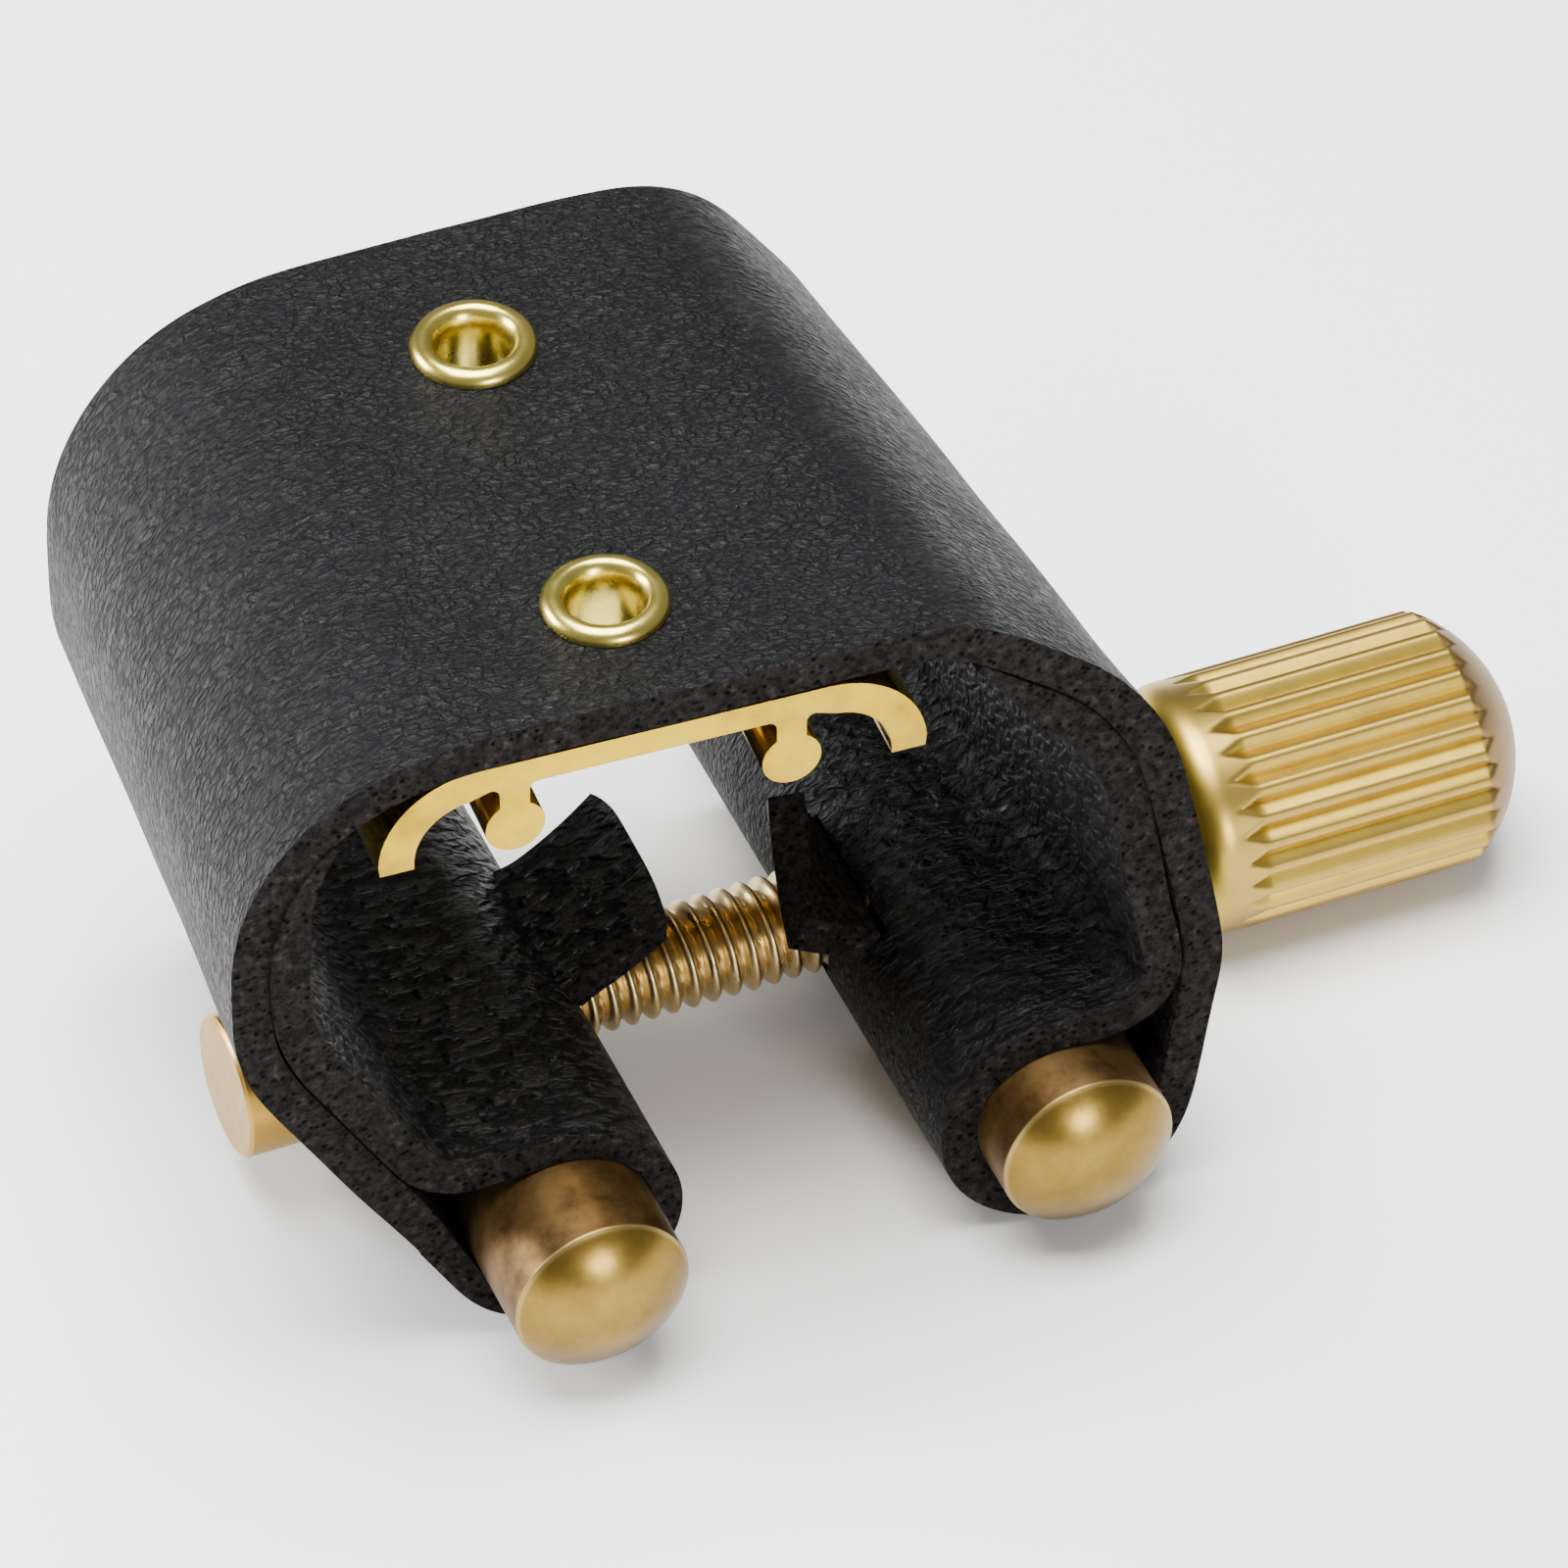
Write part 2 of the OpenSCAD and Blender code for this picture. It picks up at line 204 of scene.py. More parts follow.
def grain_leather():
    """Black full-grain leather. Its creases run along the band, which lies in X-Z.

    The attribute "inside" says how far the lining's coarser wrinkles take over.
    """
    m = Nodes("grain_leather")
    here = m.coordinates()
    along = m.coordinates((0.68, 1.3, 0.68))
    warp = m.add("ShaderNodeTexNoise", {"Vector": along, "Scale": 1.5, "Detail": 3.0})
    bent = m.add(
        "ShaderNodeVectorMath",
        {0: warp.outputs["Color"], 1: (0.6, 0.6, 0.6), 2: along},
        operation="MULTIPLY_ADD",
    ).outputs[0]
    creases = m.span(m.cells(bent, 3.0, "DISTANCE_TO_EDGE"), 0.0, 0.2)
    ridges = m.span(m.noise(bent, 3.6, 3.0, 0.55), 0.38, 0.64)
    fine = m.noise(here, 9.0, 3.0, 0.6)
    amount = m.span(m.noise(here, 0.5, 3.0, 0.55), 0.3, 0.7, 0.6, 1.0)
    grain = m.math("MULTIPLY_ADD", creases, 0.45, m.math("MULTIPLY", ridges, 0.6))
    grain = m.math("MULTIPLY", m.math("MULTIPLY_ADD", fine, 0.3, grain), amount)
    crinkled = m.coordinates((0.75, 1.9, 0.75), (-35, 0, 0))
    wrinkles = m.span(m.noise(crinkled, 1.7, 1.0, 0.5, 0.4), 0.40, 0.60)
    inside = m.attribute("inside")
    height = m.math("MULTIPLY_ADD", m.math("MULTIPLY", wrinkles, inside), 2.7, grain)
    tone = m.span(m.noise(here, 0.25, 3.0), 0.3, 0.7)
    outer = m.mix(tone, (0.0030, 0.0030, 0.0035, 1), (0.0050, 0.0050, 0.0057, 1))
    gloss = m.span(grain, 0.3, 1.0, 0.10, 0.20)
    inner_gloss = m.span(wrinkles, 0.1, 1.0, 0.12, 0.37)
    rise = m.math("SUBTRACT", inner_gloss, gloss)
    m.set(
        Base_Color=m.mix(inside, outer, (0.0034, 0.0034, 0.0034, 1)),
        Roughness=m.span(grain, 0.2, 1.1, 0.58, 0.40),
        Specular_IOR_Level=m.math("MULTIPLY_ADD", inside, rise, gloss),
        Normal=m.bump(height, 0.125),
    )
    return m.material


def cut_leather():
    """The brown-black fibres of a cut edge or of the flesh side, with open pits painted near black
    as shade.
    """
    m = Nodes("cut_leather")
    here = m.coordinates()
    pits = m.span(m.cells(here, 3.3), 0.10, 0.36)
    fibres = m.span(m.noise(here, 3.4, 8.0, 0.75), 0.40, 0.60)
    specks = m.span(m.cells(here, 6.0), 0.0, 0.14, 1.0, 0.0)
    # The pits are painted near black, which is painted shade in the hollows, laid over the fibres'
    # own tone.
    pit_shade_and_fibre_tone = m.math("MULTIPLY", pits, m.span(fibres, 0.0, 1.0, 0.22, 1.0))
    colour = m.mix(pit_shade_and_fibre_tone, (0.0005, 0.0004, 0.0004, 1), (0.0285, 0.0222, 0.0196, 1))
    glint = m.math("MULTIPLY", specks, m.span(m.noise(here, 1.1), 0.5, 0.62))
    height = m.math("MULTIPLY_ADD", fibres, 0.8, pits)
    m.set(
        Base_Color=m.mix(m.math("MULTIPLY", glint, 0.6), colour, (0.12, 0.105, 0.10, 1)),
        Roughness=0.85,
        Specular_IOR_Level=m.span(pit_shade_and_fibre_tone, 0.0, 1.0, 0.02, 0.16),
        Normal=m.bump(height, 0.2),
    )
    return m.material


def metal(name, colour, dark, roughness, blotch=0.35):
    """Polished or satin metal with patches of the dark tarnish colour."""
    m = Nodes(name)
    here = m.coordinates()
    patches = m.span(m.noise(here, 0.45, 4.0, 0.6), 0.42, 0.75, 0.0, blotch)
    smears = m.noise(here, 1.2, 3.0, 0.55)
    m.set(
        Base_Color=m.mix(patches, (*colour, 1), (*dark, 1)),
        Metallic=1.0,
        Roughness=m.span(smears, 0.3, 0.7, roughness * 0.85, roughness * 1.2),
        Normal=m.bump(m.noise(here, 6.0, 3.0, 0.6), 0.0025),
    )
    return m.material


def rod_brass(name):
    """Brass rods: mottled brown sides, a painted highlight ring at the rim and polished domed ends.
    """
    m = Nodes(name)
    here = m.coordinates()
    along = m.math("ABSOLUTE", m.add("ShaderNodeSeparateXYZ", {"Vector": here}).outputs["Y"])
    rim_y = ROD_END - DOME_SAG
    end = m.span(along, rim_y - 0.1, rim_y)
    mottle = m.span(m.noise(here, 0.9, 5.0, 0.65), 0.35, 0.65)
    side = m.mix(mottle, (0.07, 0.036, 0.012, 1), (0.17, 0.10, 0.032, 1))
    dome = m.mix(mottle, (0.19, 0.115, 0.022, 1), (0.25, 0.16, 0.035, 1))
    # A thin ring just below the dome's rim gets the pale colour below. It is a painted highlight,
    # standing in for the light a bevelled rim catches.
    rim_highlight_cutoff = m.span(along, rim_y + 0.02, rim_y + 0.06, 1.0, 0.0)
    rim = m.math("MULTIPLY", m.span(end, 0.0, 0.6), rim_highlight_cutoff)
    m.set(
        Base_Color=m.mix(rim, m.mix(end, side, dome), (0.30, 0.21, 0.07, 1)),
        Metallic=m.span(end, 0.0, 1.0, 0.86, 1.0),
        Roughness=m.span(end, 0.0, 1.0, 0.42, 0.31),
        Normal=m.bump(mottle, 0.003),
    )
    return m.material


def knob_brass(name):
    """The knob: painted highlights in the grooves and painted shade on the ridges, and a satin
    brown end.
    """
    m = Nodes(name)
    here = m.coordinates()
    parts = m.add("ShaderNodeSeparateXYZ", {"Vector": here}).outputs
    rise = m.math("SUBTRACT", parts["Z"], ORIGIN[2])
    across = m.math("MULTIPLY", parts["Y"], parts["Y"])
    radius = m.math("SQRT", m.math("MULTIPLY_ADD", rise, rise, across))
    rim_x = ORIGIN[0] + KNOB_TIP - KNOB_SAG
    end = m.span(parts["X"], rim_x - 0.05, rim_x + 0.1)
    # The grooves are painted bright yellow and the ridge tops darker, which is a painted highlight
    # in the grooves and painted shade on the ridges. The smears mixed over them are wear.
    ridge_shade_over_groove_light = m.span(radius, KNOB_R - 0.26, KNOB_R - 0.02)
    smears = m.noise(here, 0.8, 4.0, 0.6)
    barrel = m.mix(ridge_shade_over_groove_light, (0.66, 0.46, 0.06, 1), (0.41, 0.275, 0.06, 1))
    wear_over_painted_groove_light = m.mix(m.span(smears, 0.45, 0.75, 0.0, 0.5), barrel, (0.33, 0.215, 0.06, 1))
    cap = m.mix(m.span(smears, 0.3, 0.7), (0.18, 0.11, 0.040, 1), (0.25, 0.155, 0.058, 1))
    m.set(
        Base_Color=m.mix(end, wear_over_painted_groove_light, cap),
        Metallic=1.0,
        Roughness=m.span(end, 0.0, 1.0, 0.36, 0.46),
        Normal=m.bump(smears, 0.003),
    )
    return m.material


def plain(name, colour, roughness):
    m = Nodes(name)
    m.set(Base_Color=(*colour, 1), Roughness=roughness, Specular_IOR_Level=0.2)
    return m.material


# ---- Meshes ----


def new_object(name, points, faces, materials, face_materials=None, smooth=True):
    """A mesh object from points in the screw frame."""
    mesh = bpy.data.meshes.new(name)
    rows = (np.asarray(points, float) + ORIGIN) * MM
    mesh.from_pydata([tuple(p) for p in rows], [], [tuple(f) for f in faces])
    for material in materials:
        mesh.materials.append(material)
    if face_materials is not None:
        mesh.polygons.foreach_set("material_index", face_materials)
    mesh.polygons.foreach_set("use_smooth", [smooth] * len(mesh.polygons))
    mesh.validate()
    obj = bpy.data.objects.new(name, mesh)
    bpy.context.scene.collection.objects.link(obj)
    return obj


def lathe(name, profile, centre, axis, materials, segments=96, wobble=None):
    """A profile of (distance along the axis, radius) turned round an axis through centre.

    wobble(along, angle, radius) gives each point's own radius. Ends at radius 0 are closed.
    """
    along_axis, first, second = {
        "X": ((1, 0, 0), (0, 1, 0), (0, 0, 1)),
        "Y": ((0, 1, 0), (0, 0, 1), (1, 0, 0)),
        "Z": ((0, 0, 1), (1, 0, 0), (0, 1, 0)),
    }[axis]
    angles = np.arange(segments) * TAU / segments
    points, faces = [], []
    for along, radius in profile:
        for angle in angles:
            r = wobble(along, angle, radius) if wobble else radius
            points.append(
                np.array(centre, float)
                + along * np.array(along_axis)
                + r * math.cos(angle) * np.array(first)
                + r * math.sin(angle) * np.array(second)
            )
    for i in range(len(profile) - 1):
        for j in range(segments):
            k = (j + 1) % segments
            a, b = i * segments, (i + 1) * segments
            faces.append((a + j, a + k, b + k, b + j))
    obj = new_object(name, points, faces, materials)
    with_mesh(obj, lambda bm: bmesh.ops.remove_doubles(bm, verts=bm.verts, dist=1e-4 * MM))
    with_mesh(obj, lambda bm: bmesh.ops.recalc_face_normals(bm, faces=bm.faces))
    return obj


def with_mesh(obj, change):
    bm = bmesh.new()
    bm.from_mesh(obj.data)
    change(bm)
    bm.to_mesh(obj.data)
    bm.free()


def apply_modifiers(obj):
    depsgraph = bpy.context.evaluated_depsgraph_get()
    made = bpy.data.meshes.new_from_object(obj.evaluated_get(depsgraph))
    obj.modifiers.clear()
    obj.data = made


def bevel(obj, width, angle=35, segments=2):
    modifier = obj.modifiers.new("bevel", "BEVEL")
    modifier.width = width * MM
    modifier.segments = segments
    modifier.limit_method = "ANGLE"
    modifier.angle_limit = math.radians(angle)
    modifier.use_clamp_overlap = True


def cut_hole(obj, cutter):
    modifier = obj.modifiers.new("hole", "BOOLEAN")
    modifier.operation = "DIFFERENCE"
    modifier.solver = "EXACT"
    modifier.object = cutter


def sharpen(obj, angle=40):
    """Keeps edges sharper than angle crisp in the shading."""
    limit = math.radians(angle)
    with_mesh(obj, lambda bm: [mark(e, limit) for e in bm.edges])


def mark(edge, limit):
    edge.smooth = len(edge.link_faces) != 2 or edge.calc_face_angle(0) < limit


def arc(centre, radius, start, end, steps):
    """Points of an arc, with angles in degrees."""
    turn = np.radians(np.linspace(start, end, steps + 1))
    return [(centre[0] + radius * math.cos(a), centre[1] + radius * math.sin(a)) for a in turn]


# ---- Outlines of the band in X-Z ----


def mix(a, b, f):
    return a + (b - a) * f


def left_of(v):
    return np.array([-v[1], v[0]])


def unit(v):
    return v / np.linalg.norm(v)


def rounded(corners, radii, steps=12):
    """A path through corners, each rounded with its own radius."""
    corners = [np.array(c, float) for c in corners]
    path = [corners[0]]
    for a, b, c, r in zip(corners, corners[1:], corners[2:], radii):
        u, w = unit(a - b), unit(c - b)
        half = math.acos(max(-1, min(1, u @ w))) / 2
        centre = b + unit(u + w) * r / math.sin(half)
        p = b + u * r / math.tan(half) - centre
        q = b + w * r / math.tan(half) - centre
        turn = math.pi - 2 * half
        for i in range(steps + 1):
            s = i / steps
            path.append(
                centre + (math.sin(turn * (1 - s)) * p + math.sin(turn * s) * q) / math.sin(turn)
            )
    path.append(corners[-1])
    return np.array(path)


def offset_corner(a, b, c, d):
    m, n = left_of(unit(b - a)), left_of(unit(c - b))
    return b + d * (m + n) / (1 + m @ n)


def resample(path, count):
    path = np.array(path, float)
    run = np.concatenate([[0], np.cumsum(np.linalg.norm(np.diff(path, axis=0), axis=1))])
    at = np.linspace(0, run[-1], count)
    return np.stack([np.interp(at, run, path[:, k]) for k in range(path.shape[1])], 1)


def relaxed(path, times):
    path = path.copy()
    for _ in range(times):
        path[1:-1] = path[1:-1] * 0.5 + (path[:-2] + path[2:]) * 0.25
    return path


def normals(path):
    """The unit normal to the left of travel at each point."""
    step = np.gradient(path, axis=0)
    step /= np.linalg.norm(step, axis=1)[:, None]
    return np.stack([-step[:, 1], step[:, 0]], 1)


def hem_touch(p, rod_x, hem_r, turning):
    """Where a straight stretch from p meets the outside of the hem round the rod at rod_x."""
    v = np.array([rod_x, 0.0]) - p
    d = np.linalg.norm(v)
    turn = math.atan2(v[1], v[0]) + turning * math.asin(hem_r / d)
    return p + math.sqrt(d * d - hem_r**2) * np.array([math.cos(turn), math.sin(turn)])


SEAM_X = -1.5
SEAM_SPARE = 1.0

# Each pair is at the band's wide end and at its narrow end.
LEFT_WALL_X = (-17.25, -15.5)
LEFT_KNEE_Z = (9.8, 9.0)
RIGHT_KNEE_X = (12.3, 10.9)
RIGHT_KNEE_Z = 5.0
HAUNCH_X = (10.4, 8.2)
HAUNCH_Z = (15.4, 14.9)
SHOULDER_X = 4.3


def left_corners(f):
    """Outer face from the hem up to the seam in the crown, at f from the wide to the narrow end."""
    wall = mix(*LEFT_WALL_X, f)
    knee = np.array([wall, mix(*LEFT_KNEE_Z, f)])
    return [
        hem_touch(knee, -ROD_X, LEFT.hem_r, -1),
        knee,
        np.array([wall, CROWN_TOP]),
        np.array([SEAM_X + SEAM_SPARE, CROWN_TOP]),
    ]


def right_corners(f):
    """The same for the right side, whose wall leans in twice on the way up."""
    knee = np.array([mix(*RIGHT_KNEE_X, f), RIGHT_KNEE_Z])
    haunch = np.array([mix(*HAUNCH_X, f), mix(*HAUNCH_Z, f)])
    return [
        hem_touch(knee, ROD_X, RIGHT.hem_r, 1),
        knee,
        haunch,
        np.array([SHOULDER_X, CROWN_TOP]),
        np.array([SEAM_X - SEAM_SPARE, CROWN_TOP]),
    ]


# Rows of the band's grid in each part of its path, from the top of the lining to the seam.
LINING_STEPS, TOP_STEPS, WINDOW_STEPS, UNDER_STEPS, WALL_STEPS = 78, 16, 18, 36, 132
WINDOW_ROW = LINING_STEPS + TOP_STEPS
ROD_PLAY = 0.06


class Side:
    """What differs between the two halves of the band.

    sign is 1 on the left. window holds the punched window's angles round the rod, in degrees up
    from the gap, and mid_y its middle along the rod. lining_top is the lining's height at the
    wide and the narrow end, and crinkle is how wrinkled the lining looks, from 0 to 1.
    """

    def __init__(self, sign, hem_t, window, mid_y, lining_top, crinkle):
        self.name = "left" if sign > 0 else "right"
        self.arm = "arm_" + self.name
        self.sign = sign
        self.hem_t = hem_t
        self.hem_r = ROD_R + ROD_PLAY + hem_t
        self.rod_x = -sign * ROD_X
        self.window = window
        self.mid_y = mid_y
        self.lining_top = lining_top
        self.crinkle = crinkle

    def turned(self, angle):
        """An angle round the rod, in degrees up from the gap, as an angle from +X."""
        return angle if self.sign > 0 else 180 - angle


LEFT = Side(1, 0.86, (42, -13), 0.37, (16.7, 16.7), 1.0)
RIGHT = Side(-1, LEATHER_T, (41, 27), -1.2, (17.3, 15.6), 0.5)
TONGUE_W = 5.3
LINING_RADII = {"left": [4.4, 6, 1.6], "right": [1.5, 6.6, 1.2, 0.9]}
WALL_RADII = {"left": [8, 7], "right": [6, 9, 5]}
LINING_RUN = 6.0
ARC_STEPS = 40
SMOOTHING = 8


def band_path(side, f):
    """The grain side of half of the band, as one path: down the lining, round the rod and up the
    outer wall to the seam. The grain is on the left of travel in the left half, and on the right
    in the right half."""
    sign = side.sign
    corners = left_corners(f) if sign > 0 else right_corners(f)
    inward = -sign * (2 * LEATHER_T + LAYER_GAP)
    inner = [
        offset_corner(a, b, c, inward) for a, b, c in zip(corners, corners[1:], corners[2:])
    ]
    foot = corners[1] - corners[0]
    heel = [inner[0][0] + (side.hem_r - inner[0][1]) * foot[0] / foot[1], side.hem_r]
    start = inner[-1] + np.array([sign * LINING_RUN, 0.0])
    lining = rounded(
        [start, *inner[::-1], heel, [side.rod_x, side.hem_r]],
        LINING_RADII[side.name],
    )
    top = mix(*side.lining_top, f)
    first = int(np.argmax(lining[:, 1] < top))
    above, below = lining[first - 1], lining[first]
    cut = mix(above, below, (above[1] - top) / (above[1] - below[1]))
    lining = np.concatenate([[cut], lining[first:]])
    touch = math.degrees(math.atan2(corners[0][1], (corners[0][0] - side.rod_x) * sign))
    marks = [90, *side.window, touch if touch < 0 else touch - 360]
    arcs = [
        arc((side.rod_x, 0.0), side.hem_r, side.turned(a), side.turned(b), ARC_STEPS)
        for a, b in zip(marks, marks[1:])
    ]
    wall = rounded(corners, WALL_RADII[side.name])
    parts = [lining, *arcs, wall]
    counts = [LINING_STEPS, TOP_STEPS, WINDOW_STEPS, UNDER_STEPS, WALL_STEPS]
    rows = [resample(part, n + 1)[:-1] for part, n in zip(parts, counts)]
    return relaxed(np.concatenate([*rows, wall[-1:]]), SMOOTHING)


def wide_edge(x, z):
    """How far along Y the band's wide edge lies at a point of its outline."""
    low = min(1, max(0, 1 - z / 12))
    lean = low * (0.2 - 0.067 * min(ROD_X, max(-ROD_X, x)))
    return mix(-9.2, -10.4, (x + 17) / 29) + lean + edge_wave(x, z)


def narrow_edge(x, z):
    """The same for the narrow edge, which bows out over the crown."""
    bow = 0.75 * math.cos(min(math.pi / 2, abs(x + 3) * 0.11))
    return 10.3 - (x + 17) / 29 * (1.54 - 0.06 * z) + bow + edge_wave(x, z + 30)


def edge_wave(x, z):
    """How far a hand-cut edge strays from its line."""
    return 0.06 * noise.noise(Vector((x * 0.3, 3.1, z * 0.3)))


# ---- The band ----

# PART_STEPS columns lie before the window, in it and after it. The lining's first SKIVE
# millimetres thin down to SKIVED_T of the full thickness.
PART_STEPS = 22
SKIVE, SKIVED_T = 3.2, 0.2
HEM_RIPPLE, WALL_RIPPLE, RIPPLE_SIZE = 0.02, 0.1, 5.0


def column_y(j, low, high, mid_y):
    """Where column j of the grid lies: the window's edges are grid lines."""
    marks = [low, mid_y - TONGUE_W / 2, mid_y + TONGUE_W / 2, high]
    part, step = divmod(j, PART_STEPS)
    if part == 3:
        return high
    return mix(marks[part], marks[part + 1], step / PART_STEPS)


def ripple(point, amount):
    """A slow unevenness of the leather's face."""
    return amount * noise.noise(Vector([float(c) for c in point]) / RIPPLE_SIZE)


def left_tongue(s, across):
    """Where a point of the left tongue lies from its root, and its grain normal, in X and Z."""
    turn = math.radians(24 + 10 * s)
    along = np.array([math.cos(turn), math.sin(turn)])
    sag = np.array([0.0, 0.12 * across * s])
    reach = 3.65 + 0.4 * (1 - across**4)
    return reach * s * along + sag, left_of(along)


def right_tongue(s, across):
    """The right tongue stands up from the lower edge, and its near side leans over further."""
    near = (1 - across) / 2
    place = np.zeros(2)
    steps = 12
    for k in range(steps):
        lean = math.radians(mix(mix(48, -8, s * (k + 0.5) / steps), 60, near))
        place += np.array([-math.sin(lean), math.cos(lean)]) * 2.7 * s / steps
    lean = math.radians(mix(mix(48, -8, s), 60, near))
    return place, np.array([-math.cos(lean), -math.sin(lean)])


def band_grid(side):
    """Points of the grain side and of the flesh side of half of the band, by row and column."""
    wide, narrow = band_path(side, 0.0), band_path(side, 1.0)
    wide_n, narrow_n = side.sign * normals(wide), side.sign * normals(narrow)
    run = np.concatenate([[0], np.cumsum(np.linalg.norm(np.diff(wide, axis=0), axis=1))])
    columns = 3 * PART_STEPS + 1
    grain = np.zeros((len(wide), columns, 3))
    flesh = np.zeros((len(wide), columns, 3))
    for i in range(len(wide)):
        low, high = wide_edge(*wide[i]), narrow_edge(*narrow[i])
        kept = min(1.0, SKIVED_T + (1 - SKIVED_T) * run[i] / SKIVE)
        hem_end = len(wide) - WALL_STEPS
        in_hem = LINING_STEPS - 8 < i < hem_end + 8
        away = min(1.0, max(0, LINING_STEPS - i, i - hem_end) / 14)
        thick = mix(side.hem_t, LEATHER_T, away)
        calm = min(1.0, (len(wide) - 1 - i) / 20)
        for j in range(columns):
            y = column_y(j, low, high, side.mid_y)
            f = (y - low) / (high - low)
            p = mix(wide[i], narrow[i], f)
            n = unit(mix(wide_n[i], narrow_n[i], f))
            wave = ripple((p[0], y, p[1]), HEM_RIPPLE if in_hem else WALL_RIPPLE) * calm
            outer = p + n * (wave - thick * (1 - kept))
            back = p + n * (wave - thick)
            grain[i, j] = (outer[0], y, outer[1])
            flesh[i, j] = (back[0], y, back[1])
    return grain, flesh


def tongue_grid(side, root, steps=16):
    """Points of both sides of the tongue in the rows past its root row."""
    columns = len(root)
    grain = np.zeros((steps, columns, 3))
    flesh = np.zeros((steps, columns, 3))
    shape = left_tongue if side is LEFT else right_tongue
    for k in range(steps):
        s = (k + 1) / steps
        for j in range(columns):
            across = 2 * j / (columns - 1) - 1
            place, n = shape(s, across)
            width = 1 - 0.05 * min(1.0, s * 6)
            y = side.mid_y + (root[j][1] - side.mid_y) * width
            x, z = root[j][0] + place[0], root[j][2] + place[1]
            grain[k, j] = (x, y, z)
            flesh[k, j] = (x - n[0] * LEATHER_T, y, z - n[1] * LEATHER_T)
    return grain, flesh


def band_half(side, materials):
    """Half of the band as a closed sheet with its window and its tongue."""
    grain, flesh = band_grid(side)
    rows, columns = grain.shape[:2]
    window_end = WINDOW_ROW + WINDOW_STEPS
    root_row = WINDOW_ROW if side is LEFT else window_end
    inside = range(PART_STEPS, 2 * PART_STEPS + 1)
    root = grain[root_row, PART_STEPS : 2 * PART_STEPS + 1]
    tongue, tongue_back = tongue_grid(side, root)

    tops = np.concatenate([grain.reshape(-1, 3), tongue.reshape(-1, 3)])
    backs = np.concatenate([flesh.reshape(-1, 3), tongue_back.reshape(-1, 3)])
    index = np.arange(rows * columns).reshape(rows, columns)
    cells = []
    for i in range(rows - 1):
        for j in range(columns - 1):
            if not (WINDOW_ROW <= i < window_end and PART_STEPS <= j < 2 * PART_STEPS):
                cells.append((index[i, j], index[i + 1, j], index[i + 1, j + 1], index[i, j + 1]))
    strip = rows * columns + np.arange(tongue.shape[0] * len(inside)).reshape(-1, len(inside))
    chain = [index[root_row, PART_STEPS : 2 * PART_STEPS + 1], *strip]
    for a, b in zip(chain, chain[1:]):
        for j in range(len(inside) - 1):
            quad = (a[j], b[j], b[j + 1], a[j + 1])
            cells.append(quad if side is LEFT else quad[::-1])
    if side is LEFT:
        cells = [cell[::-1] for cell in cells]
    fade = np.clip((window_end - np.arange(rows)) / WINDOW_STEPS, 0, 1)
    lining = np.concatenate([np.repeat(fade, columns), np.ones(tongue.shape[0] * len(inside))])
    weight = side.crinkle * lining
    return thick_sheet("band_" + side.name, tops, backs, cells, weight, materials)


def thick_sheet(name, tops, backs, cells, inside, materials):
    """A closed mesh from cells of the grain side, the flesh side behind it and the cut edges."""
    count = len(tops)
    faces = list(cells)
    kinds = [0] * len(cells)
    faces += [tuple(k + count for k in cell[::-1]) for cell in cells]
    kinds += [1] * len(cells)
    edges = {(cell[k], cell[(k + 1) % 4]) for cell in cells for k in range(4)}
    for a, b in sorted(edges):
        if (b, a) not in edges:
            faces.append((b, a, a + count, b + count))
            kinds.append(1)
    obj = new_object(name, np.concatenate([tops, backs]), faces, materials, kinds)
    weights = obj.data.attributes.new("inside", "FLOAT", "POINT")
    weights.data.foreach_set("value", np.concatenate([inside, inside]))
    with_mesh(obj, drop_loose)
    return obj


def drop_loose(bm):
    loose = [v for v in bm.verts if not v.link_faces]
    bmesh.ops.delete(bm, geom=loose, context="VERTS")


def bar(radius, low, high):
    """A cutter along the screw's axis."""
    profile = [(low, 0), (low, radius), (high, radius), (high, 0)]
    return lathe("cutter", profile, (0, 0, 0), "X", [], 64)


def post(radius, centre):
    """A cutter that stands upright through the crown and the plate."""
    profile = [(10, 0), (10, radius), (30, radius), (30, 0)]
    return lathe("cutter", profile, centre, "Z", [], 64)


def carve(obj, cutters):
    for cutter in cutters:
        cut_hole(obj, cutter)
    apply_modifiers(obj)
    for cutter in cutters:
        bpy.data.objects.remove(cutter)


def cut_at_seam(obj, side):
    """Cuts the half off at the seam and leaves that end open, where the other half goes on."""
    plane = (np.array([SEAM_X, 0, 0]) + ORIGIN) * MM

    def cut(bm):
        bmesh.ops.bisect_plane(
            bm,
            geom=[*bm.verts, *bm.edges, *bm.faces],
            plane_co=plane,
            plane_no=(side.sign, 0, 0),
            clear_outer=True,
        )

    with_mesh(obj, cut)


def build_band(grain, cut):
    """Both halves of the band, holed for the nut, the screw and the eyelets, bevelled and cut off
    at the seam, in place of the band's CAD nodes.
    """
    holes = {
        "left": [bar(NUT_R + 0.03, -20, -ROD_X), bar(SCREW_R + 0.2, -ROD_X, 0)]
        + [post(1.26, centre) for centre in EYELETS],
        "right": [bar(SCREW_R + 0.5, ROD_X, 20), bar(SCREW_R + 0.2, 0, ROD_X)],
    }
    nodes = {
        "left": ["strap_left", "lining_left", "hem_left", "tongue_left", "strap_crown"],
        "right": ["strap_right", "lining_right", "hem_right", "tongue_right"],
    }
    for side in (LEFT, RIGHT):
        half = band_half(side, [grain, cut])
        carve(half, holes[side.name])
        bevel(half, 0.11, 50)
        apply_modifiers(half)
        cut_at_seam(half, side)
        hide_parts(*nodes[side.name])
        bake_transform(half)


# ---- Brass and gold pieces ----


def centre_of(low, high):
    return (low + high) / 2 - ORIGIN


